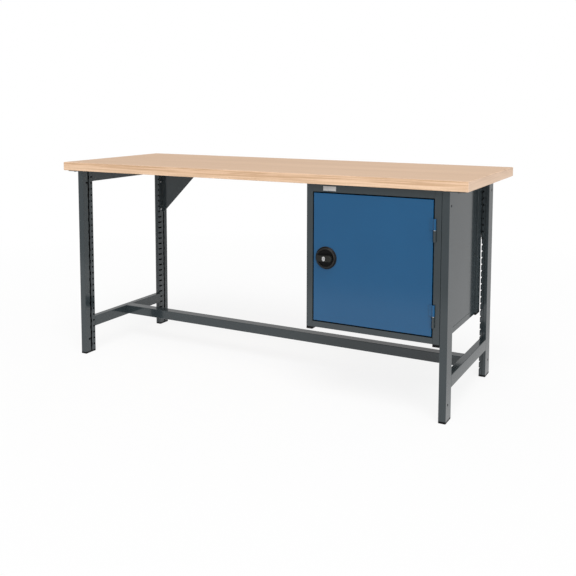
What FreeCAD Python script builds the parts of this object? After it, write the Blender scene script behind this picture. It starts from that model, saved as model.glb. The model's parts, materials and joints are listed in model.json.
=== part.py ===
import FreeCAD, Part
import math
import os
from FreeCAD import Vector

# Workbench: a beech worktop on a steel frame, with a door cabinet under its right end.
# Millimetres. X runs along the bench, Y from front to back, Z up. The floor is Z = 0.

# Worktop
top_length = 2000.0
top_depth = 750.0
top_thickness = 40.0
bench_height = 953.0
top_edge_round = 2.0
end_overhang = 75.0
front_overhang = 18.0
rear_overhang = 50.0

# Legs
leg_width = 30.0
leg_depth = 70.0
leg_wall = 2.0
leg_corner = 2.0
slit_from_front = 39.0
slit_width = 9.0
slit_bite_reach = 2.5
slit_bite_height = 17.0
notch_pitch = 30.0
notch_first = 38.0
notch_height = 8.0
notch_across = 8.0
notch_along = 19.0
notch_end_margin = 25.0
hook_hole_width = 11.0
hook_hole_edge = 4.5
groove_width = 2.0
groove_depth = 0.8
side_hole_radius = 5.5
side_hole_place = 26.0
side_hole_low = 70.0
side_hole_drop = 56.0
foot_head = 9.0
foot_plug = 16.0
plug_clearance = 0.2
cap_edge_round = 1.5
leg_plate_thickness = 5.0
leg_plate_edge = 15.0
leg_plate_screw_spacing = 40.0

# Rails between front and rear legs, and the long stretcher
top_rail_height = 57.0
lower_rail_top = 176.0
lower_rail_height = 50.0
rail_wall = 2.0
rail_corner = 2.0
stretcher_depth = 50.0
stretcher_height = 43.0
end_plate_thickness = 5.0
frame_bolt_radius = 4.0
frame_bolt_head_radius = 6.5
frame_bolt_head_height = 5.5
frame_bolt_spacing = 24.0
frame_bolt_end = 6.0
bolt_play = 0.2

# Gusset brackets on the rear legs
gusset_sheet = 2.5
gusset_web_place = 33.0
gusset_height = 280.0
gusset_reach = 275.0
gusset_nose = 6.0
gusset_lip = 10.0
gusset_leg_flange = 32.0
gusset_top_flange = 26.0
gusset_screw_edge = 7.0
gusset_screw_lift = 19.0
gusset_screw_spacing = 152.0
gusset_screw_radius = 2.5
gusset_screw_head_radius = 5.0
gusset_screw_head_height = 3.0
gusset_screw_head_round = 1.2
gusset_screw_length = 12.0
gusset_top_screw_first = 80.0
gusset_top_screw_spacing = 125.0

# Wood screws into the worktop
wood_screw_radius = 2.5
wood_screw_length = 25.0
wood_screw_head_radius = 5.5
wood_screw_head_height = 3.0
wood_screw_play = 0.05

# Cabinet
cabinet_width = 572.0
cabinet_lift = 124.0
cabinet_leg_gap = 1.0
cabinet_gusset_gap = 10.0
post_width = 27.5
post_depth = 60.0
post_wall = 1.5
post_corner = 1.5
post_cap_head = 11.0
post_cap_plug = 12.0
roof_thickness = 2.0
roof_screw_inset = 90.0
front_rail_depth = 20.0
front_rail_wall = 1.5
cabinet_rail_corner = 1.0
front_top_rail_height = 30.5
front_bottom_rail_height = 24.5
front_bottom_rail_lift = 11.0
sheet = 1.5
side_recess = 7.0
side_rail_lift = 4.0
side_rail_height = 25.0
side_rail_width = 18.0
side_seam_depth = 0.6
back_inset = 10.0
panel_clearance = 0.5
shelf_height = 25.0
shelf_level = 300.0
shelf_side_clearance = 1.5
shelf_back_clearance = 2.0
clip_margin = 8.0
clip_width = 12.0
clip_reach = 12.0
clip_drop = 20.0
clip_sheet = 2.0
label_width = 57.0
label_height = 19.0
label_thickness = 0.8
label_left = 75.0
label_lift = 5.5

# Door and hinges
door_gap = 5.0
door_thickness = 18.0
door_sheet = 1.2
door_edge_round = 1.5
stiffener_width = 60.0
stiffener_depth = 14.0
knuckle_radius = 5.2
knuckle_stand_off = 0.4
knuckle_inset = 3.5
knuckle_half = 44.0
knuckle_foot = 6.0
hinge_leaf = 2.5
hinge_leaf_lift = 1.0
hinge_leaf_reach = 10.0
pin_radius = 3.0
pin_seat_clearance = 0.02
pin_running_clearance = 0.05
pin_blind_end = 4.0
pin_end_gap = 1.0
washer_thickness = 1.5
washer_rim = 0.1
washer_play = 0.1
lower_hinge_lift = 36.0
upper_hinge_drop = 73.0

# Handle, lock and latch
handle_place = 57.0
handle_reach = 27.0
rosette_radius = 47.0
rosette_top_radius = 40.0
rosette_height = 9.0
rosette_floor = 1.6
rosette_ring_wall = 4.5
dish_clearance = 0.5
dish_thickness = 3.0
grip_inset = 1.5
grip_thickness = 25.0
grip_end_round = 11.0
grip_end_flat = 1.0
grip_front_round = 2.5
lock_face_width = 13.0
lock_face_height = 19.0
lock_face_thickness = 1.5
lock_face_seat = 0.02
plug_radius = 5.5
plug_web = 6.0
plug_end_gap = 0.2
key_slot_width = 2.0
key_slot_height = 7.5
key_slot_depth = 8.0
spindle_radius = 5.0
spindle_in_grip = 6.0
spindle_square = 7.0
spindle_running_clearance = 0.05
spindle_seat_clearance = 0.02
spindle_stub_radius = 3.0
spindle_stub_length = 6.0
bush_radius = 8.0
bush_flange_radius = 15.0
bush_flange_thickness = 3.0
bush_seat_clearance = 0.02
cam_gap = 2.0
cam_thickness = 4.0
cam_half_width = 11.0
latch_bite = 14.0
cam_nut_radius = 5.8
cam_nut_height = 5.0
strike_clearance = 2.0

# Places worked out from the sizes above
handle_proud = max(handle_reach - front_overhang, 0.0)
top_front = handle_proud / 2.0 - top_depth / 2.0
top_rear = top_front + top_depth
top_under = bench_height - top_thickness
frame_half = top_length / 2.0 - end_overhang
frame_front = top_front + front_overhang
frame_rear = top_rear - rear_overhang
frame_middle = (frame_front + frame_rear) / 2.0
rail_front = frame_front + leg_depth
rail_rear = frame_rear - leg_depth
inner_face = frame_half - leg_width
leg_top = top_under - leg_plate_thickness
leg_plate_out = end_overhang - leg_plate_edge
side_hole_high = leg_top - side_hole_drop
gusset_low = top_under - gusset_height
gusset_edge = gusset_web_place + gusset_leg_flange
gusset_screw_place = gusset_edge - gusset_screw_edge
gusset_screw_low = gusset_low + gusset_screw_lift
stretcher_front = frame_middle - stretcher_depth / 2.0
stretcher_rear = frame_middle + stretcher_depth / 2.0
stretcher_bottom = lower_rail_top - stretcher_height
stretcher_middle = lower_rail_top - stretcher_height / 2.0

cabinet_right = inner_face - cabinet_leg_gap
cabinet_left = cabinet_right - cabinet_width
cabinet_front = frame_front
cabinet_rear = frame_rear - gusset_edge - cabinet_gusset_gap
cabinet_depth = cabinet_rear - cabinet_front
cabinet_bottom = lower_rail_top + cabinet_lift
roof_under = top_under - roof_thickness
post_bottom = cabinet_bottom + post_cap_head
opening_left = cabinet_left + post_width
opening_right = cabinet_right - post_width
bottom_rail_low = cabinet_bottom + front_bottom_rail_lift
opening_bottom = bottom_rail_low + front_bottom_rail_height
opening_top = roof_under - front_top_rail_height
side_rail_low = cabinet_bottom + side_rail_lift
side_rail_top = side_rail_low + side_rail_height
back_front = cabinet_rear - back_inset - sheet
clip_back = post_depth - clip_margin
clip_front = clip_back - clip_width
shelf_front = cabinet_front + clip_front
shelf_low = side_rail_top + shelf_level

door_left = opening_left + door_gap
door_right = opening_right - door_gap
door_bottom = opening_bottom + door_gap
door_top = opening_top - door_gap
door_back = cabinet_front + door_thickness
hinge_x = opening_right + knuckle_inset
hinge_y = cabinet_front - knuckle_radius - knuckle_stand_off
washer_radius = knuckle_radius + washer_rim
hinge_length = 2.0 * knuckle_half + washer_thickness + washer_play
handle_x = door_left + handle_place
handle_z = (door_bottom + door_top) / 2.0
dish_radius = rosette_top_radius - rosette_ring_wall - dish_clearance
dish_back = rosette_floor + dish_clearance
grip_half = dish_radius - grip_inset
plug_length = handle_reach - dish_back - spindle_in_grip - plug_web
cam_reach = handle_place + door_gap + latch_bite
cam_front = door_back + cam_gap
cam_back = cam_front + cam_thickness

# Tolerance for picking edges
plane_limit = 0.01

ALONG = Vector(1, 0, 0)
BACK = Vector(0, 1, 0)
UP = Vector(0, 0, 1)


def block(x0, x1, y0, y1, z0, z1):
    return Part.makeBox(x1 - x0, y1 - y0, z1 - z0, Vector(x0, y0, z0))


def rod(radius, length, start, direction):
    return Part.makeCylinder(radius, length, start, direction)


def edges_along(shape, direction):
    found = []
    for edge in shape.Edges:
        if isinstance(edge.Curve, Part.Line):
            if edge.Curve.Direction.cross(direction).Length < plane_limit:
                found.append(edge)
    return found


def soft_block(x0, x1, y0, y1, z0, z1, radius, direction):
    # A block whose edges along one direction are rounded.
    solid = block(x0, x1, y0, y1, z0, z1)
    return solid.makeFillet(radius, edges_along(solid, direction))


def tube_along(x0, x1, y0, y1, z0, z1, wall, corner):
    inside = block(x0, x1, y0 + wall, y1 - wall, z0 + wall, z1 - wall)
    return soft_block(x0, x1, y0, y1, z0, z1, corner, ALONG).cut(inside)


def tube_back(x0, x1, y0, y1, z0, z1, wall, corner):
    inside = block(x0 + wall, x1 - wall, y0, y1, z0 + wall, z1 - wall)
    return soft_block(x0, x1, y0, y1, z0, z1, corner, BACK).cut(inside)


def bottom_edges(shape, level):
    return [edge for edge in shape.Edges if edge.BoundBox.ZMax < level + plane_limit]


def hexagon(radius, height, start, direction):
    points = []
    for step in range(7):
        angle = math.radians(60.0 * step)
        points.append(Vector(radius * math.cos(angle), radius * math.sin(angle), 0))
    solid = Part.Face(Part.makePolygon(points)).extrude(Vector(0, 0, height))
    solid.Placement = FreeCAD.Placement(start, FreeCAD.Rotation(UP, direction))
    return solid


def at_corner(shape, side, end, half_x, middle_x, front, rear):
    # Places a shape drawn from an outer corner inwards at one of four corners.
    placed = shape.copy()
    if side > 0:
        placed = placed.mirror(Vector(0, 0, 0), ALONG)
    if end > 0:
        placed = placed.mirror(Vector(0, 0, 0), BACK)
    placed.translate(Vector(middle_x + side * half_x, rear if end > 0 else front, 0))
    return placed


def at_leg(shape, side, end):
    return at_corner(shape, side, end, frame_half, 0.0, frame_front, frame_rear)


def at_post(shape, side, end):
    middle = (cabinet_left + cabinet_right) / 2.0
    return at_corner(shape, side, end, cabinet_width / 2.0, middle, cabinet_front, cabinet_rear)


def gusset_screw_spots():
    return [gusset_screw_low, gusset_screw_low + gusset_screw_spacing]


def leg(end):
    # Drawn from the outer corner: X towards the bench's middle, Y towards the other leg.
    # The inner face has a wavy slit. Rear legs have notches at their corner, front legs closed hook holes.
    solid = soft_block(0, leg_width, 0, leg_depth, foot_head, leg_top, leg_corner, UP)
    wall_x = leg_width - leg_wall
    wall_y = leg_depth - leg_wall
    cuts = [block(leg_wall, wall_x, leg_wall, wall_y, foot_head, leg_top)]
    slit_place = leg_depth - slit_from_front if end > 0 else slit_from_front
    slit_low = slit_place - slit_width / 2.0
    slit_high = slit_low + slit_width
    cuts.append(block(wall_x, leg_width, slit_low, slit_high, foot_head, leg_top))
    groove_low = leg_width / 2.0 - groove_width / 2.0
    groove_floor = leg_depth - groove_depth
    cuts.append(block(groove_low, groove_low + groove_width, groove_floor, leg_depth, foot_head, leg_top))
    for number in range(math.floor((leg_top - notch_end_margin - notch_first) / notch_pitch) + 1):
        level = notch_first + number * notch_pitch
        low = level - notch_height / 2.0
        high = low + notch_height
        if end > 0:
            cuts.append(block(leg_width - notch_across, leg_width,
                              leg_depth - notch_along, leg_depth, low, high))
        else:
            hole_high = leg_depth - hook_hole_edge
            cuts.append(block(wall_x, leg_width, hole_high - hook_hole_width, hole_high, low, high))
        low = level - slit_bite_height / 2.0
        bite = slit_high if number % 2 == 0 else slit_low - slit_bite_reach
        cuts.append(block(wall_x, leg_width, bite, bite + slit_bite_reach, low, low + slit_bite_height))
    for height in (side_hole_low, side_hole_high):
        cuts.append(rod(side_hole_radius, leg_width, Vector(0, side_hole_place, height), ALONG))
    if end > 0:
        for height in gusset_screw_spots():
            start = Vector(wall_x, gusset_screw_place, height)
            cuts.append(rod(gusset_screw_radius + bolt_play, leg_wall, start, ALONG))
    return solid.cut(cuts)


def foot_cap():
    head = soft_block(0, leg_width, 0, leg_depth, 0, foot_head, leg_corner, UP)
    head = head.makeFillet(cap_edge_round, bottom_edges(head, 0))
    edge = leg_wall + plug_clearance
    plug = block(edge, leg_width - edge, edge, leg_depth - edge, foot_head, foot_head + foot_plug)
    return head.fuse(plug).removeSplitter()


def leg_plate_screw_spots():
    spots = []
    for step in (-0.5, 0.5):
        spots.append((-leg_plate_out / 2.0, leg_depth / 2.0 + step * leg_plate_screw_spacing))
    return spots


def leg_plate():
    plate = block(-leg_plate_out, leg_width, 0, leg_depth, leg_top, top_under)
    holes = [rod(wood_screw_radius + wood_screw_play, leg_plate_thickness, Vector(x, y, leg_top), UP)
             for x, y in leg_plate_screw_spots()]
    return plate.cut(holes)


def top_rail():
    # Only the left end has one: at the right end the cabinet takes its place.
    return tube_back(-frame_half, -inner_face, rail_front, rail_rear,
                     top_under - top_rail_height, top_under, rail_wall, rail_corner)


def frame_bolt_spots():
    return [frame_middle - frame_bolt_spacing / 2.0, frame_middle + frame_bolt_spacing / 2.0]


def lower_rail(side):
    # A channel open downwards, bolted to the stretcher through its inner wall.
    low = lower_rail_top - lower_rail_height
    x0 = min(side * frame_half, side * inner_face)
    x1 = max(side * frame_half, side * inner_face)
    solid = soft_block(x0, x1, rail_front, rail_rear, low, lower_rail_top, rail_corner, BACK)
    cuts = [block(x0 + rail_wall, x1 - rail_wall, rail_front, rail_rear, low, lower_rail_top - rail_wall)]
    for y in frame_bolt_spots():
        start = Vector(side * inner_face, y, stretcher_middle)
        cuts.append(rod(frame_bolt_radius + bolt_play, rail_wall, start, ALONG * side))
    return solid.cut(cuts)


def stretcher():
    return tube_along(-inner_face, inner_face, stretcher_front, stretcher_rear,
                      stretcher_bottom, lower_rail_top, rail_wall, rail_corner)


def end_plate(side):
    edge = rail_wall + plug_clearance
    inner_end = inner_face - end_plate_thickness
    x0 = min(side * inner_face, side * inner_end)
    x1 = max(side * inner_face, side * inner_end)
    plate = block(x0, x1, stretcher_front + edge, stretcher_rear - edge,
                  stretcher_bottom + edge, lower_rail_top - edge)
    holes = []
    for y in frame_bolt_spots():
        start = Vector(side * inner_face, y, stretcher_middle)
        holes.append(rod(frame_bolt_radius + bolt_play, end_plate_thickness, start, ALONG * -side))
    return plate.cut(holes)


def frame_bolts():
    bolts = []
    length = rail_wall + end_plate_thickness + frame_bolt_end
    for side in (-1, 1):
        for y in frame_bolt_spots():
            seat = Vector(side * (inner_face + rail_wall), y, stretcher_middle)
            head = hexagon(frame_bolt_head_radius, frame_bolt_head_height, seat, ALONG * side)
            bolts.append(head.fuse(rod(frame_bolt_radius, length, seat, ALONG * -side)))
    return bolts


def gusset_screw_tops():
    # Wood screws along the gusset's top flange, measured like the leg.
    y = gusset_web_place + gusset_sheet + (gusset_top_flange - gusset_sheet) / 2.0
    first = leg_width + gusset_top_screw_first
    return [(first, y), (first + gusset_top_screw_spacing, y)]


def gusset():
    web_y = gusset_web_place
    low = gusset_low
    x0 = leg_width
    outline = [Vector(x0, web_y, low), Vector(x0 + gusset_nose, web_y, low),
               Vector(x0 + gusset_reach, web_y, top_under - gusset_lip),
               Vector(x0 + gusset_reach, web_y, top_under), Vector(x0, web_y, top_under),
               Vector(x0, web_y, low)]
    web = Part.Face(Part.makePolygon(outline)).extrude(Vector(0, gusset_sheet, 0))
    side = block(x0, x0 + gusset_sheet, web_y, web_y + gusset_leg_flange, low, top_under)
    top = block(x0, x0 + gusset_reach, web_y, web_y + gusset_top_flange, top_under - gusset_sheet, top_under)
    solid = web.fuse([side, top]).removeSplitter()
    holes = []
    for height in gusset_screw_spots():
        start = Vector(x0, gusset_screw_place, height)
        holes.append(rod(gusset_screw_radius + bolt_play, gusset_sheet, start, ALONG))
    for x, y in gusset_screw_tops():
        start = Vector(x, y, top_under - gusset_sheet)
        holes.append(rod(wood_screw_radius + wood_screw_play, gusset_sheet, start, UP))
    return solid.cut(holes)


def gusset_screw(height):
    seat = Vector(leg_width + gusset_sheet, gusset_screw_place, height)
    head = rod(gusset_screw_head_radius, gusset_screw_head_height, seat, ALONG)
    rim = [edge for edge in head.Edges if edge.BoundBox.XMin > seat.x + plane_limit]
    head = head.makeFillet(gusset_screw_head_round, rim)
    return head.fuse(rod(gusset_screw_radius, gusset_screw_length, seat, ALONG * -1))


def gusset_screws():
    screws = []
    for side in (-1, 1):
        for height in gusset_screw_spots():
            screws.append(at_leg(gusset_screw(height), side, 1))
    return screws


def wood_screw_spots():
    # Each spot is a place in plan and the level of the surface that the head bears on.
    spots = []
    for side in (-1, 1):
        for end in (-1, 1):
            edge_y = frame_rear if end > 0 else frame_front
            for x, y in leg_plate_screw_spots():
                spots.append((side * (frame_half - x), edge_y - end * y, leg_top))
        for x, y in gusset_screw_tops():
            spots.append((side * (frame_half - x), frame_rear - y, top_under - gusset_sheet))
    for x in (cabinet_left + roof_screw_inset, cabinet_right - roof_screw_inset):
        for y in (cabinet_front + roof_screw_inset, cabinet_rear - roof_screw_inset):
            spots.append((x, y, roof_under))
    return spots


def wood_screws():
    screws = []
    for x, y, level in wood_screw_spots():
        seat = Vector(x, y, level)
        head = rod(wood_screw_head_radius, wood_screw_head_height, seat, UP * -1)
        shank = rod(wood_screw_radius, top_under - level + wood_screw_length, seat, UP)
        screws.append(head.fuse(shank))
    return screws


def worktop():
    half = top_length / 2.0
    board = block(-half, half, top_front, top_rear, top_under, bench_height)
    board = board.makeFillet(top_edge_round, board.Edges)
    holes = []
    for x, y, level in wood_screw_spots():
        start = Vector(x, y, top_under)
        holes.append(rod(wood_screw_radius + wood_screw_play, wood_screw_length, start, UP))
    return board.cut(holes)


def post(side, end):
    # Drawn from the cabinet's outer corner inwards.
    solid = soft_block(0, post_width, 0, post_depth, post_bottom, roof_under, post_corner, UP)
    inner_x = post_width - post_wall
    cuts = [block(post_wall, inner_x, post_wall, post_depth - post_wall, post_bottom, roof_under)]
    if side < 0 and end < 0:
        # The latch cam swings up into this slot from below.
        low = handle_z - cam_reach
        high = handle_z + cam_half_width + strike_clearance
        slot_front = cam_front - cabinet_front - strike_clearance
        slot_back = cam_back - cabinet_front + strike_clearance
        cuts.append(block(inner_x, post_width, slot_front, slot_back, low, high))
    return solid.cut(cuts)


def post_cap():
    head = soft_block(0, post_width, 0, post_depth, cabinet_bottom, post_bottom, post_corner, UP)
    head = head.makeFillet(cap_edge_round, bottom_edges(head, cabinet_bottom))
    edge = post_wall + plug_clearance
    plug = block(edge, post_width - edge, edge, post_depth - edge, post_bottom, post_bottom + post_cap_plug)
    return head.fuse(plug).removeSplitter()


def cabinet_roof():
    plate = block(cabinet_left, cabinet_right, cabinet_front, cabinet_rear, roof_under, top_under)
    holes = []
    for x, y, level in wood_screw_spots():
        if level == roof_under:
            start = Vector(x, y, roof_under)
            holes.append(rod(wood_screw_radius + wood_screw_play, roof_thickness, start, UP))
    return plate.cut(holes)


def front_rail(low, high):
    return tube_along(opening_left, opening_right, cabinet_front, cabinet_front + front_rail_depth,
                      low, high, front_rail_wall, cabinet_rail_corner)


def side_panel():
    # Stands on the edge of the cabinet's floor.
    return block(side_recess, side_recess + sheet, post_depth, cabinet_depth - post_depth,
                 side_rail_top + sheet, roof_under)


def side_rail():
    return tube_back(side_recess, side_recess + side_rail_width, post_depth, cabinet_depth - post_depth,
                     side_rail_low, side_rail_top, sheet, cabinet_rail_corner)


def cabinet_back():
    return block(opening_left, opening_right, back_front, back_front + sheet, side_rail_low, roof_under)


def cabinet_floor():
    # Rests on the side rails, is cut out around the posts and stops short of the panels' outer faces.
    edge = side_recess + side_seam_depth
    front = cabinet_front + front_rail_depth + panel_clearance
    plate = block(cabinet_left + edge, cabinet_right - edge, front, back_front - panel_clearance,
                  side_rail_top, side_rail_top + sheet)
    reach_x = post_width + panel_clearance
    reach_y = post_depth + panel_clearance
    corner = block(0, reach_x, 0, reach_y, side_rail_top, side_rail_top + sheet)
    corners = [at_post(corner, side, end) for side in (-1, 1) for end in (-1, 1)]
    return plate.cut(corners)


def shelf():
    x0 = opening_left + shelf_side_clearance
    x1 = opening_right - shelf_side_clearance
    y1 = back_front - shelf_back_clearance
    high = shelf_low + shelf_height
    inside = block(x0 + sheet, x1 - sheet, shelf_front + sheet, y1 - sheet, shelf_low, high - sheet)
    return block(x0, x1, shelf_front, y1, shelf_low, high).cut(inside)


def shelf_clip():
    ledge_low = shelf_low - clip_sheet
    ledge = block(post_width, post_width + clip_reach, clip_front, clip_back, ledge_low, shelf_low)
    back = block(post_width, post_width + clip_sheet, clip_front, clip_back,
                 shelf_low - clip_drop, ledge_low)
    return ledge.fuse(back).removeSplitter()


def blank_label():
    x0 = cabinet_left + label_left
    z0 = opening_top + label_lift
    return block(x0, x0 + label_width, cabinet_front - label_thickness, cabinet_front, z0, z0 + label_height)


def hinge_levels():
    return {"lower": door_bottom + lower_hinge_lift, "upper": door_top - upper_hinge_drop - hinge_length}


def frame_knuckle(level):
    barrel = rod(knuckle_radius, knuckle_half, Vector(hinge_x, hinge_y, level), UP)
    half_foot = knuckle_foot / 2.0
    foot = block(hinge_x - half_foot, hinge_x + half_foot, hinge_y, cabinet_front,
                 level, level + knuckle_half)
    bore = rod(pin_radius + pin_seat_clearance, knuckle_half, Vector(hinge_x, hinge_y, level), UP)
    return barrel.fuse(foot).removeSplitter().cut(bore)


def hinge_washer(level):
    start = Vector(hinge_x, hinge_y, level + knuckle_half)
    ring = rod(washer_radius, washer_thickness, start, UP)
    return ring.cut(rod(pin_radius + pin_seat_clearance, washer_thickness, start, UP))


def hinge_pin(level):
    top = level + hinge_length - pin_blind_end - pin_end_gap
    return rod(pin_radius, top - level, Vector(hinge_x, hinge_y, level), UP)


def door_knuckle(level):
    low = level + hinge_length - knuckle_half
    high = level + hinge_length
    barrel = rod(knuckle_radius, knuckle_half, Vector(hinge_x, hinge_y, low), UP)
    leaf_back = cabinet_front - hinge_leaf_lift
    start = door_right - hinge_leaf_reach
    bridge = block(start, hinge_x - pin_radius, leaf_back - hinge_leaf, leaf_back, low, high)
    pad = block(start, door_right, leaf_back, cabinet_front, low, high)
    bore_length = knuckle_half - pin_blind_end
    bore = rod(pin_radius + pin_running_clearance, bore_length, Vector(hinge_x, hinge_y, low), UP)
    return barrel.fuse([bridge, pad]).removeSplitter().cut(bore)


def out_of_door(distance):
    # The point on the handle's axis this far in front of the door's face.
    return Vector(handle_x, cabinet_front - distance, handle_z)


def door_panel():
    solid = block(door_left, door_right, cabinet_front, door_back, door_bottom, door_top)
    rim = [edge for edge in solid.Edges if edge.BoundBox.YMax < cabinet_front + plane_limit]
    solid = solid.makeFillet(door_edge_round, rim + edges_along(solid, BACK))
    inside = block(door_left + door_sheet, door_right - door_sheet, cabinet_front + door_sheet, door_back,
                   door_bottom + door_sheet, door_top - door_sheet)
    hole = rod(bush_radius + bush_seat_clearance, door_sheet, out_of_door(0), BACK)
    return solid.cut([inside, hole])


def door_stiffener():
    middle = (door_left + door_right) / 2.0
    half = stiffener_width / 2.0
    front = cabinet_front + door_sheet
    back = front + stiffener_depth
    low = door_bottom + door_sheet
    high = door_top - door_sheet
    solid = block(middle - half, middle + half, front, back, low, high)
    inside = block(middle - half + sheet, middle + half - sheet, front, back - sheet, low, high)
    return solid.cut(inside)


def turned(points):
    # A solid of revolution about the handle's axis from (radius, distance out of the door) points.
    profile = [Vector(handle_x + radius, cabinet_front - out, handle_z) for radius, out in points]
    profile.append(profile[0])
    return Part.Face(Part.makePolygon(profile)).revolve(out_of_door(0), BACK, 360)


def rosette():
    inner = rosette_top_radius - rosette_ring_wall
    bore = bush_radius + bush_seat_clearance
    return turned([(bore, 0), (rosette_radius, 0), (rosette_radius, rosette_floor),
                   (rosette_top_radius, rosette_height), (inner, rosette_height),
                   (inner, rosette_floor), (bore, rosette_floor)])


def lock_bush():
    back = -(door_sheet + bush_flange_thickness)
    bore = spindle_radius + spindle_running_clearance
    return turned([(bore, rosette_floor), (bush_radius, rosette_floor), (bush_radius, -door_sheet),
                   (bush_flange_radius, -door_sheet), (bush_flange_radius, back), (bore, back)])


def handle():
    dish = rod(dish_radius, dish_thickness, out_of_door(dish_back), BACK * -1)
    front = cabinet_front - handle_reach
    tall = grip_thickness / 2.0
    end_round = min(grip_end_round, tall - grip_end_flat)
    grip = soft_block(handle_x - grip_half, handle_x + grip_half, front, cabinet_front - dish_back,
                      handle_z - tall, handle_z + tall, end_round, BACK)
    rim = [edge for edge in grip.Edges if edge.BoundBox.YMax < front + plane_limit]
    grip = grip.makeFillet(grip_front_round, rim)
    solid = dish.fuse(grip).removeSplitter()
    plug_bore = rod(plug_radius + spindle_running_clearance, plug_length, out_of_door(handle_reach), BACK)
    spindle_bore = rod(spindle_radius + spindle_seat_clearance, dish_back + spindle_in_grip,
                       out_of_door(dish_back + spindle_in_grip), BACK)
    return solid.cut([lock_oval(lock_face_seat), plug_bore, spindle_bore])


def lock_oval(margin):
    # An upright plate with round ends, let into the grip's front.
    half = lock_face_width / 2.0 + margin
    straight = lock_face_height / 2.0 - lock_face_width / 2.0
    front = cabinet_front - handle_reach
    plate = block(handle_x - half, handle_x + half, front, front + lock_face_thickness,
                  handle_z - straight, handle_z + straight)
    ends = [rod(half, lock_face_thickness, out_of_door(handle_reach) + UP * level, BACK)
            for level in (-straight, straight)]
    return plate.fuse(ends).removeSplitter()


def lock_face():
    bore = rod(plug_radius + spindle_running_clearance, lock_face_thickness, out_of_door(handle_reach), BACK)
    return lock_oval(0.0).cut(bore)


def lock_plug():
    plug = rod(plug_radius, plug_length - plug_end_gap, out_of_door(handle_reach), BACK)
    half_width = key_slot_width / 2.0
    half_height = key_slot_height / 2.0
    front = cabinet_front - handle_reach
    slot = block(handle_x - half_width, handle_x + half_width, front, front + key_slot_depth,
                 handle_z - half_height, handle_z + half_height)
    return plug.cut(slot)


def spindle():
    start = out_of_door(dish_back + spindle_in_grip)
    shaft = rod(spindle_radius, cam_front - start.y, start, BACK)
    half = spindle_square / 2.0
    square = block(handle_x - half, handle_x + half, cam_front, cam_back, handle_z - half, handle_z + half)
    stub = rod(spindle_stub_radius, spindle_stub_length, Vector(handle_x, cam_back, handle_z), BACK)
    return shaft.fuse([square, stub])


def latch_cam():
    # Hangs down when the door is free to open and swings up to the left to latch it.
    arm = block(handle_x - cam_half_width, handle_x + cam_half_width, cam_front, cam_back,
                handle_z - cam_reach, handle_z)
    eye = rod(cam_half_width, cam_thickness, Vector(handle_x, cam_front, handle_z), BACK)
    half = spindle_square / 2.0 + spindle_seat_clearance
    hole = block(handle_x - half, handle_x + half, cam_front, cam_back, handle_z - half, handle_z + half)
    return arm.fuse(eye).removeSplitter().cut(hole)


def cam_nut():
    start = Vector(handle_x, cam_back, handle_z)
    bore = rod(spindle_stub_radius + spindle_seat_clearance, cam_nut_height, start, BACK)
    return hexagon(cam_nut_radius, cam_nut_height, start, BACK).cut(bore)


def save(name, *solids):
    shape = solids[0]
    if len(solids) > 1:
        shape = Part.makeCompound(list(solids))
    if not shape.isValid():
        raise ValueError(name + " is not a valid solid")
    shape.exportStep(os.path.join("parts", name + ".step"))
    print(name, len(shape.Solids), round(shape.Volume / 1000.0, 2), "cm3")


os.makedirs("parts", exist_ok=True)

save("worktop", worktop())
for side, side_name in ((-1, "left"), (1, "right")):
    for end, end_name in ((-1, "front"), (1, "rear")):
        corner_name = end_name + "_" + side_name
        save(corner_name + "_leg", at_leg(leg(end), side, end))
        save(corner_name + "_foot_cap", at_leg(foot_cap(), side, end))
        save(corner_name + "_leg_plate", at_leg(leg_plate(), side, end))
        save("cabinet_" + corner_name + "_post", at_post(post(side, end), side, end))
    save(side_name + "_lower_rail", lower_rail(side))
    save(side_name + "_gusset", at_leg(gusset(), side, 1))
    save("cabinet_" + side_name + "_panel", at_post(side_panel(), side, -1))
    save("cabinet_" + side_name + "_rail", at_post(side_rail(), side, -1))
save("left_top_rail", top_rail())
save("stretcher", stretcher())
save("stretcher_end_plates", end_plate(-1), end_plate(1))
save("stretcher_bolts", *frame_bolts())
save("gusset_screws", *gusset_screws())
save("worktop_screws", *wood_screws())

save("cabinet_post_caps", *[at_post(post_cap(), side, end) for side in (-1, 1) for end in (-1, 1)])
save("cabinet_roof", cabinet_roof())
save("cabinet_front_top_rail", front_rail(opening_top, roof_under))
save("cabinet_front_bottom_rail", front_rail(bottom_rail_low, opening_bottom))
save("cabinet_back", cabinet_back())
save("cabinet_floor", cabinet_floor())
save("cabinet_shelf", shelf())
save("shelf_clips", *[at_post(shelf_clip(), side, end) for side in (-1, 1) for end in (-1, 1)])
save("blank_label", blank_label())

for hinge_name, hinge_level in hinge_levels().items():
    save(hinge_name + "_frame_knuckle", frame_knuckle(hinge_level))
    save(hinge_name + "_hinge_pin", hinge_pin(hinge_level))
    save(hinge_name + "_door_knuckle", door_knuckle(hinge_level))
save("hinge_washers", *[hinge_washer(level) for level in hinge_levels().values()])

save("door_panel", door_panel())
save("door_stiffener", door_stiffener())
save("handle_rosette", rosette())
save("lock_bush", lock_bush())
save("handle", handle())
save("lock_face", lock_face())
save("lock_plug", lock_plug())
save("handle_spindle", spindle())
save("latch_cam", latch_cam())
save("cam_nut", cam_nut())
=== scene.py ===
"""Looks of the workbench: finishes, softened edges, light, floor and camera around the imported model."""
import json
import math

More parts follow.
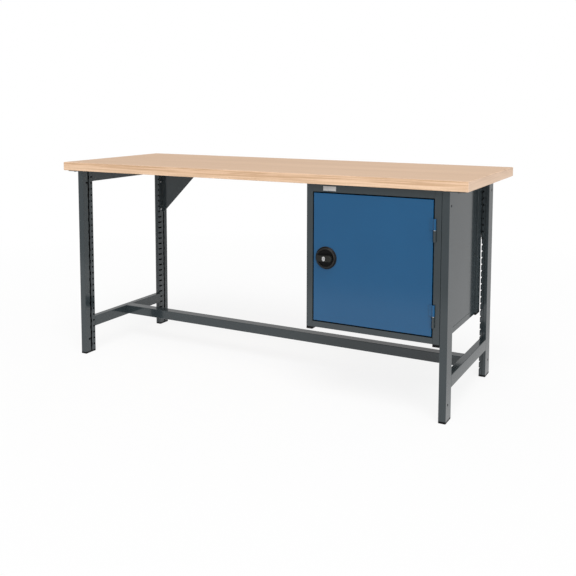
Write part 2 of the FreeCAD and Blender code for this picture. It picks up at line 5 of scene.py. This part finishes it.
import bpy
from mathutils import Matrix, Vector


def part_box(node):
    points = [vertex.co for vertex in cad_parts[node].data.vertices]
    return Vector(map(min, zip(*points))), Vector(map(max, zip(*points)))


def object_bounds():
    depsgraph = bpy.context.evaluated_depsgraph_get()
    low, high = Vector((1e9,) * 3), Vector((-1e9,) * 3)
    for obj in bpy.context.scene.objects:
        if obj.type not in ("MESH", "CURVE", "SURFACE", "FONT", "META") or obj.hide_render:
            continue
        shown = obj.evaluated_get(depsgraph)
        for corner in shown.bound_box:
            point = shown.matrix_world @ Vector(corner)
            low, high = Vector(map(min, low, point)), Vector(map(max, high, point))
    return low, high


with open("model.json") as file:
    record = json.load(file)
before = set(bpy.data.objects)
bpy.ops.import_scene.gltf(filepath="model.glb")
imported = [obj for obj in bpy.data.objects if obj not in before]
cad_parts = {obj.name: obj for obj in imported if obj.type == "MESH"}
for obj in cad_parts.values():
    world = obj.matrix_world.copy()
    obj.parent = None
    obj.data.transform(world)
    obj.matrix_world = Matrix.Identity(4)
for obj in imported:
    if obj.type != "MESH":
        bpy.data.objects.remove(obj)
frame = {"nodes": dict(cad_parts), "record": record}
cad_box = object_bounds()
nodes = frame["nodes"]
slot_of = {row["node"]: row["material_slot"] for row in frame["record"]["subparts"]}
millimetre = 0.001

# Camera of the photograph, in metres and radians
camera_place = Vector((1.79076, -3.32164, 1.25396))
camera_turn = 0.50248
camera_tilt = 0.08985
camera_lens = 50.24
sensor_width = 36
camera_shift = (0.02704, -0.20)

# Lamps and sky, where a level of 1 renders a colour about as it is written
sky_level = 0.34
key_level = 0.88
key_direction = Vector((0.25, -0.50, 0.82)).normalized()
key_distance = 24.0
key_size = (16.0, 16.0)
fill_level = 0.62
fill_direction = Vector((0.76, -0.64, 0.06)).normalized()
fill_distance = 28.0
fill_size = (22.0, 11.0)

# Floor, whose share of plain white grows with the distance from the bench's middle
floor_width = 120
floor_colour = (0.9, 0.9, 0.9, 1)
floor_roughness = 0.9
floor_stretch = (1.2, 4.0)
floor_white_near = 0.86
floor_white_far = 1.0

# Reflections show a dimmer room around a white sheet on the floor.
# Each edge of the sheet is an axis with the places where the dimmer floor ends and the white begins.
room_level = 0.63
sheet_edges = (("Y", -2.4, -1.9), ("Y", 1.6, 1.1), ("X", 1.1, 0.9))

# Linear colours, as the two tones that a finish varies between or as one tone
white = (1, 1, 1, 1)
grey_tones = ((0.024, 0.032, 0.036, 1), (0.028, 0.037, 0.041, 1))
# Lighter tones along rounded edges: part wear, part painted highlight
grey_edge_tones = (grey_tones[1], (0.060, 0.068, 0.073, 1))
blue_tones = ((0.0024, 0.061, 0.152, 1), (0.0032, 0.068, 0.168, 1))
blue_edge_tones = (blue_tones[1], (0.020, 0.105, 0.240, 1))
# Painted shade: near black, for the inside of the leg profiles, the cut walls and the floor's seams
inside_shade_tones = ((0.006, 0.007, 0.008, 1), (0.012, 0.013, 0.014, 1))
screw_tones = ((0.006, 0.006, 0.007, 1), (0.010, 0.010, 0.011, 1))
black_tones = ((0.003, 0.003, 0.0034, 1), (0.005, 0.005, 0.0055, 1))
# Black plastic edges: mostly a painted highlight along the rims, some wear
black_edge_tones = ((0.024, 0.023, 0.022, 1), (0.030, 0.029, 0.028, 1))
# Painted light on the front of the handle's grip
grip_lit_tones = ((0.015, 0.015, 0.014, 1), (0.020, 0.020, 0.018, 1))
label_tones = ((0.36, 0.360, 0.360, 1), (0.41, 0.405, 0.400, 1))
zinc_tones = ((0.50, 0.51, 0.53, 1), (0.66, 0.66, 0.66, 1))
chrome_tones = ((0.70, 0.70, 0.71, 1), (0.80, 0.80, 0.80, 1))
veneer_tones = ((0.66, 0.460, 0.315, 1), (0.72, 0.510, 0.355, 1))
veneer_streak_tone = (0.57, 0.380, 0.255, 1)
veneer_fleck_tone = (0.42, 0.265, 0.175, 1)
ply_tones = ((0.72, 0.510, 0.352, 1), (0.67, 0.455, 0.303, 1))
ply_grain_tone = (0.46, 0.300, 0.185, 1)
ply_line_tone = (0.42, 0.260, 0.145, 1)
sawn_end_tone = (0.72, 0.56, 0.45, 1)

# Lowest and highest roughness of each finish, and how strongly it mirrors
grey_gloss = (0.09, 0.13)
grey_specular = 0.55
blue_gloss = (0.11, 0.15)
blue_specular = 0.5
inside_gloss = (0.4, 0.5)
inside_specular = 0.2
screw_gloss = (0.3, 0.4)
screw_specular = 0.3
plastic_gloss = (0.36, 0.48)
plastic_specular = 0.12
wood_gloss = (0.5, 0.62)
wood_specular = 0.25
zinc_gloss = (0.26, 0.4)
chrome_gloss = (0.1, 0.2)

# Features per metre of each texture along X, Y and Z, and the roughness of the coarser noises
paint_cloud = (5, 5, 5)
paint_grain = (900, 900, 900)
paint_peel = (300, 300, 300)
plastic_cloud = (30, 30, 30)
plastic_grain = (1600, 1600, 1600)
zinc_mottle = (300, 300, 300)
chrome_mottle = (200, 200, 200)
plating_haze = (220, 220, 220)
veneer_bands = (0.7, 9, 9)
veneer_streaks = (3, 150, 150)
veneer_flecks = (260, 1500, 1500)
ply_drift = (1.2, 1.2, 70)
ply_grain = (420, 420, 90)
ply_lines = (4.5, 4.5, 240)
coarse = 0.6

# Relief of the textures, and the thickness of two plies
paint_relief = 0.008 * millimetre
plastic_relief = 0.03 * millimetre
veneer_relief = 0.05 * millimetre
fleck_relief_share = 0.4
ply_pair = 4.4 * millimetre

# Stretches, from start to end, over which one look gives way to another
noise_stretch = (0.3, 0.7)
streak_stretch = (0.35, 0.7)
fleck_stretch = (0.62, 0.72)
line_stretch = (0.42, 0.58)
tan_stretch = (0.25, 0.7)
ply_stretch = (0.46, 0.54)
end_stretch = (0.6, 0.8)
face_stretch = (0.4, 0.8)
whole_stretch = (0, 1)

# How strongly each part of a texture shows, as one share or as the lowest and the highest
cloud_share = (0.15, 0.75)
grain_share = (-0.15, 0.25)
streak_share = 0.4
fleck_share = 0.3
drift_share = (-0.3, 0.3)
ply_share = 0.4
line_share = 0.75
line_share_below = 0.5
sawn_end_share = 0.5

# Softened edges of the pieces, and where a leg's outer skin ends and its painted shade inside begins
edge_round = 0.4 * millimetre
wide_edges = {"handle_rosette": 1.6 * millimetre, "handle": 1.0 * millimetre}
edge_steps = 2
wear_and_highlight_slot = 1
sharp_angle = math.radians(40)
weld_reach = 0.002 * millimetre
outer_skin = 0.62 * millimetre
facing_side = 0.9


class Shading:
    """A node tree, with short calls for the nodes that the finishes and the sky share."""

    def __init__(self, tree):
        self.tree = tree

    def add(self, kind, **settings):
        made = self.tree.nodes.new(kind)
        for name, value in settings.items():
            setattr(made, name, value)
        return made

    def feed(self, socket, value):
        """Join an output to a socket, or set a plain value on it."""
        if isinstance(value, bpy.types.NodeSocket):
            self.tree.links.new(value, socket)
        else:
            socket.default_value = value

    def work_out(self, operation, *values):
        made = self.add("ShaderNodeMath", operation=operation)
        for socket, value in zip(made.inputs, values):
            self.feed(socket, value)
        return made.outputs["Value"]

    def range(self, value, stretch, low, high):
        """The value's stretch, drawn out to run from low to high and held there."""
        made = self.add("ShaderNodeMapRange")
        start, end = stretch
        given = {"Value": value, "From Min": start, "From Max": end, "To Min": low, "To Max": high}
        for name, setting in given.items():
            self.feed(made.inputs[name], setting)
        return made.outputs["Result"]

    def split(self, vector):
        """The X, Y and Z of a vector."""
        made = self.add("ShaderNodeSeparateXYZ")
        self.feed(made.inputs[0], vector)
        return made.outputs

    def seen(self):
        """1 for the rays that show the surroundings to the camera, in a mirror or through glass."""
        path = self.add("ShaderNodeLightPath")
        rays = self.work_out("ADD", path.outputs["Is Camera Ray"], path.outputs["Is Glossy Ray"])
        return self.work_out("ADD", rays, path.outputs["Is Transmission Ray"])

    def mirrored(self, level):
        """The level for reflections and 1 for everything else."""
        path = self.add("ShaderNodeLightPath")
        return self.range(path.outputs["Is Glossy Ray"], whole_stretch, 1.0, level)


class Finish(Shading):
    """One material, with the texture nodes that the finishes are made of."""

    def __init__(self, name):
        self.material = bpy.data.materials.new(name)
        self.material.use_nodes = True
        super().__init__(self.material.node_tree)
        self.surface = self.tree.nodes["Principled BSDF"]
        self.place = self.add("ShaderNodeTexCoord").outputs["Object"]

    def set(self, **inputs):
        """Feed the surface's sockets, named with underscores for spaces."""
        for name, value in inputs.items():
            self.feed(self.surface.inputs[name.replace("_", " ")], value)

    def noise(self, per_metre, detail=2.0, roughness=0.5):
        """Noise with its own number of features per metre along X, Y and Z."""
        stretch = self.add("ShaderNodeMapping")
        self.feed(stretch.inputs["Vector"], self.place)
        self.feed(stretch.inputs["Scale"], per_metre)
        made = self.add("ShaderNodeTexNoise")
        self.feed(made.inputs["Vector"], stretch.outputs["Vector"])
        self.feed(made.inputs["Scale"], 1.0)
        self.feed(made.inputs["Detail"], detail)
        self.feed(made.inputs["Roughness"], roughness)
        return made.outputs["Fac"]

    def spread(self, noise, low, high):
        """A noise's usual stretch, drawn out to run from low to high."""
        return self.range(noise, noise_stretch, low, high)

    def mix(self, factor, first, second):
        # A Mix node's colour sockets come after the number and vector ones
        made = self.add("ShaderNodeMix", data_type="RGBA")
        self.feed(made.inputs[0], factor)
        self.feed(made.inputs[6], first)
        self.feed(made.inputs[7], second)
        return made.outputs[2]

    def bump(self, height, depth):
        made = self.add("ShaderNodeBump")
        self.feed(made.inputs["Height"], height)
        self.feed(made.inputs["Distance"], depth)
        self.feed(made.inputs["Strength"], 1.0)
        return made.outputs["Normal"]


def powder_coat(name, tones, gloss, specular):
    """Powder coat: fine orange peel, slow cloudiness and a slightly uneven gloss."""
    made = Finish(name)
    cloud = made.noise(paint_cloud, detail=3)
    grain = made.noise(paint_grain)
    tone = made.work_out("ADD", made.spread(cloud, *cloud_share), made.spread(grain, *grain_share))
    made.set(Base_Color=made.mix(tone, *tones))
    made.set(Roughness=made.spread(grain, *gloss))
    made.set(Specular_IOR_Level=specular)
    made.set(Normal=made.bump(made.noise(paint_peel), paint_relief))
    return made.material


def moulded_plastic(name, tones):
    """Moulded plastic with a fine eroded grain."""
    made = Finish(name)
    cloud = made.noise(plastic_cloud)
    made.set(Base_Color=made.mix(made.spread(cloud, 0, 1), *tones))
    grain = made.noise(plastic_grain, roughness=coarse)
    made.set(Roughness=made.spread(grain, *plastic_gloss))
    made.set(Specular_IOR_Level=plastic_specular)
    made.set(Normal=made.bump(grain, plastic_relief))
    return made.material


def plated_steel(name, tones, gloss, mottle_per_metre):
    """Bright plated metal with a faint mottle and haze."""
    made = Finish(name)
    mottle = made.noise(mottle_per_metre, detail=3)
    made.set(Base_Color=made.mix(made.spread(mottle, 0, 1), *tones))
    made.set(Metallic=1.0)
    made.set(Roughness=made.spread(made.noise(plating_haze), *gloss))
    return made.material


def veneer(made, streak, fleck):
    """Colour of the board's faces: sliced veneer with slow bands, streaks and flecks."""
    band = made.noise(veneer_bands, detail=3)
    colour = made.mix(made.spread(band, 0, 1), *veneer_tones)
    colour = made.mix(made.range(streak, streak_stretch, 0, streak_share), colour, veneer_streak_tone)
    return made.mix(made.range(fleck, fleck_stretch, 0, fleck_share), colour, veneer_fleck_tone)


def plies(made, normal):
    """Colour of the board's sides: plies seen edge-on, tan and lined above, paler at the sawn ends."""
    place_z = made.split(made.place)["Z"]
    low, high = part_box("worktop")
    height = made.range(place_z, (low.z, high.z), 0, 1)
    drift = made.spread(made.noise(ply_drift), *drift_share)
    tan = made.range(made.work_out("ADD", height, drift), tan_stretch, 0, 1)
    colour = made.mix(tan, *ply_tones)
    grain = made.spread(made.noise(ply_grain, roughness=coarse), 0, 1)
    across_grain = made.mix(grain, colour, ply_grain_tone)
    ply = made.work_out("FRACT", made.work_out("DIVIDE", place_z, ply_pair))
    colour = made.mix(made.range(ply, ply_stretch, 0, ply_share), colour, across_grain)
    line = made.range(made.noise(ply_lines), line_stretch, 0, line_share)
    line = made.work_out("MULTIPLY", line, made.range(tan, whole_stretch, line_share_below, 1))
    colour = made.mix(line, colour, ply_line_tone)
    sawn_end = made.range(made.work_out("ABSOLUTE", normal["X"]), end_stretch, 0, sawn_end_share)
    return made.mix(sawn_end, colour, sawn_end_tone)


def beech_top():
    """Beech multiplex: veneer on the faces, plies along the sides."""
    made = Finish("beech_multiplex")
    streak = made.noise(veneer_streaks, detail=3, roughness=coarse)
    fleck = made.noise(veneer_flecks, detail=1)
    normal = made.split(made.add("ShaderNodeNewGeometry").outputs["Normal"])
    facing_up = made.range(made.work_out("ABSOLUTE", normal["Z"]), face_stretch, 0, 1)
    made.set(Base_Color=made.mix(facing_up, plies(made, normal), veneer(made, streak, fleck)))
    made.set(Roughness=made.spread(streak, *wood_gloss))
    made.set(Specular_IOR_Level=wood_specular)
    relief = made.work_out("ADD", streak, made.work_out("MULTIPLY", fleck, fleck_relief_share))
    made.set(Normal=made.bump(relief, veneer_relief))
    return made.material


finishes = {
    "beech": beech_top(),
    "grey_paint": powder_coat("grey_powder_coat", grey_tones, grey_gloss, grey_specular),
    "blue_paint": powder_coat("blue_powder_coat", blue_tones, blue_gloss, blue_specular),
    "black_plastic": moulded_plastic("black_plastic", black_tones),
    "black_steel": powder_coat("black_screw_finish", screw_tones, screw_gloss, screw_specular),
    "zinc_steel": plated_steel("zinc_plate", zinc_tones, zinc_gloss, zinc_mottle),
    "lock_chrome": plated_steel("lock_chrome", chrome_tones, chrome_gloss, chrome_mottle),
    "label_plate": moulded_plastic("label_plate", label_tones),
}
# Lighter finishes along rounded edges: part wear, part painted highlight, on black plastic mostly painted
# highlight
edge_wear_and_highlight_finishes = {
    "black_plastic": moulded_plastic("black_plastic_edge_highlight", black_edge_tones),
    "grey_paint": powder_coat("grey_paint_edge_wear_highlight", grey_edge_tones, grey_gloss, grey_specular),
    "blue_paint": powder_coat("blue_paint_edge_wear_highlight", blue_edge_tones, blue_gloss, blue_specular),
}
# Painted light: the grip's front lighter than its shaded dish
grip_painted_light = moulded_plastic("black_plastic_painted_light", grip_lit_tones)
# Painted shade inside the leg profiles, on cut walls and in the seams below the side panels
inside_shade_finish = powder_coat("inside_painted_shade", inside_shade_tones, inside_gloss, inside_specular)


def soften(piece, width, has_wear_and_highlight):
    """Round a piece's sharp edges, with its lighter edge finish along them where it has one: part wear,
    part painted highlight.
    """
    weld = piece.modifiers.new("weld", "WELD")
    weld.merge_threshold = weld_reach
    bevel = piece.modifiers.new("bevel", "BEVEL")
    bevel.width = width
    bevel.segments = edge_steps
    bevel.limit_method = "ANGLE"
    bevel.angle_limit = sharp_angle
    bevel.use_clamp_overlap = True
    # The lighter edge finish: part wear, part painted highlight
    if has_wear_and_highlight:
        bevel.material = wear_and_highlight_slot
    normals = piece.modifiers.new("normals", "WEIGHTED_NORMAL")
    normals.keep_sharp = True


def repaint(piece, finish, chosen):
    """Give the chosen faces of a piece another finish."""
    piece.data.materials.append(finish)
    for face in piece.data.polygons:
        if chosen(face):
            face.material_index = len(piece.data.materials) - 1


def depth_inside(face, low, high):
    """How far a face lies inside the four sides of a leg."""
    spot = face.center
    return min(spot.x - low.x, high.x - spot.x, spot.y - low.y, high.y - spot.y)


def dress(name, piece):
    """Give a node its finish, painted shade or painted light on chosen faces, and soft edges."""
    slot = slot_of[name]
    low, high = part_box(name)
    piece.data.materials.clear()
    piece.data.materials.append(finishes[slot])
    if slot in edge_wear_and_highlight_finishes:
        piece.data.materials.append(edge_wear_and_highlight_finishes[slot])
    if name.endswith("_leg"):
        # Painted shade inside the folded profile and on the cuts through its wall
        repaint(piece, inside_shade_finish, lambda face: depth_inside(face, low, high) > outer_skin)
    elif name == "cabinet_floor":
        # Painted shade at the bottom of the seams below the side panels
        repaint(piece, inside_shade_finish, lambda face: abs(face.normal.x) > facing_side)
    else:
        soften(piece, wide_edges.get(name, edge_round), slot in edge_wear_and_highlight_finishes)
    if name == "handle":
        # Painted light on the front of the grip, lighter than the shaded dish behind it
        repaint(piece, grip_painted_light, lambda face: face.center.y < (low.y + high.y) / 2)


def floor():
    """Wide white floor that keeps the bench's shadow."""
    bpy.ops.mesh.primitive_plane_add(size=floor_width, location=(0, 0, cad_box[0].z))
    made = bpy.context.object
    made.name = "floor"
    finish = Finish("white_floor")
    finish.set(Base_Color=floor_colour, Roughness=floor_roughness)
    glow = finish.add("ShaderNodeEmission")
    spot = finish.split(finish.place)
    level = 1.0
    for axis, outside, inside in sheet_edges:
        inner = finish.range(spot[axis], (outside, inside), room_level, 1.0)
        level = finish.work_out("MINIMUM", level, inner)
    finish.feed(glow.inputs["Strength"], finish.mirrored(level))
    away = finish.add("ShaderNodeVectorMath", operation="LENGTH")
    finish.feed(away.inputs[0], finish.place)
    whiteness = finish.range(away.outputs["Value"], floor_stretch, floor_white_near, floor_white_far)
    blend = finish.add("ShaderNodeMixShader")
    finish.feed(blend.inputs[0], finish.work_out("MULTIPLY", finish.seen(), whiteness))
    finish.feed(blend.inputs[1], finish.surface.outputs[0])
    finish.feed(blend.inputs[2], glow.outputs[0])
    finish.feed(finish.tree.nodes["Material Output"].inputs["Surface"], blend.outputs[0])
    made.data.materials.append(finish.material)


def sky():
    """White surroundings where they are seen, dimmer in reflections, and an even light elsewhere."""
    world = bpy.data.worlds.new("studio")
    bpy.context.scene.world = world
    world.use_nodes = True
    made = Shading(world.node_tree)
    background = made.tree.nodes["Background"]
    made.feed(background.inputs["Color"], white)
    shown = made.mirrored(room_level)
    made.feed(background.inputs["Strength"], made.range(made.seen(), whole_stretch, sky_level, shown))


def lamp(name, level, direction, distance, size):
    """Large soft lamp that shines on the bench's middle."""
    light = bpy.data.lights.new(name, "AREA")
    light.shape = "RECTANGLE"
    light.size, light.size_y = size
    # This power lights a surface that faces the lamp to the level
    light.energy = level * math.pi ** 2 * distance ** 2
    holder = bpy.data.objects.new(name, light)
    bpy.context.scene.collection.objects.link(holder)
    holder.location = (cad_box[0] + cad_box[1]) / 2 + direction * distance
    holder.rotation_euler = (-direction).to_track_quat("-Z", "Y").to_euler()


def camera():
    lens = bpy.data.cameras.new("camera")
    lens.lens = camera_lens
    lens.sensor_width = sensor_width
    lens.shift_x, lens.shift_y = camera_shift
    holder = bpy.data.objects.new("camera", lens)
    bpy.context.scene.collection.objects.link(holder)
    holder.location = camera_place
    holder.rotation_euler = (math.pi / 2 - camera_tilt, 0, camera_turn)
    bpy.context.scene.camera = holder


for name, piece in nodes.items():
    dress(name, piece)
floor()
sky()
lamp("key", key_level, key_direction, key_distance, key_size)
lamp("fill", fill_level, fill_direction, fill_distance, fill_size)
camera()
bpy.context.scene.view_settings.view_transform = "Standard"

bpy.context.view_layer.update()
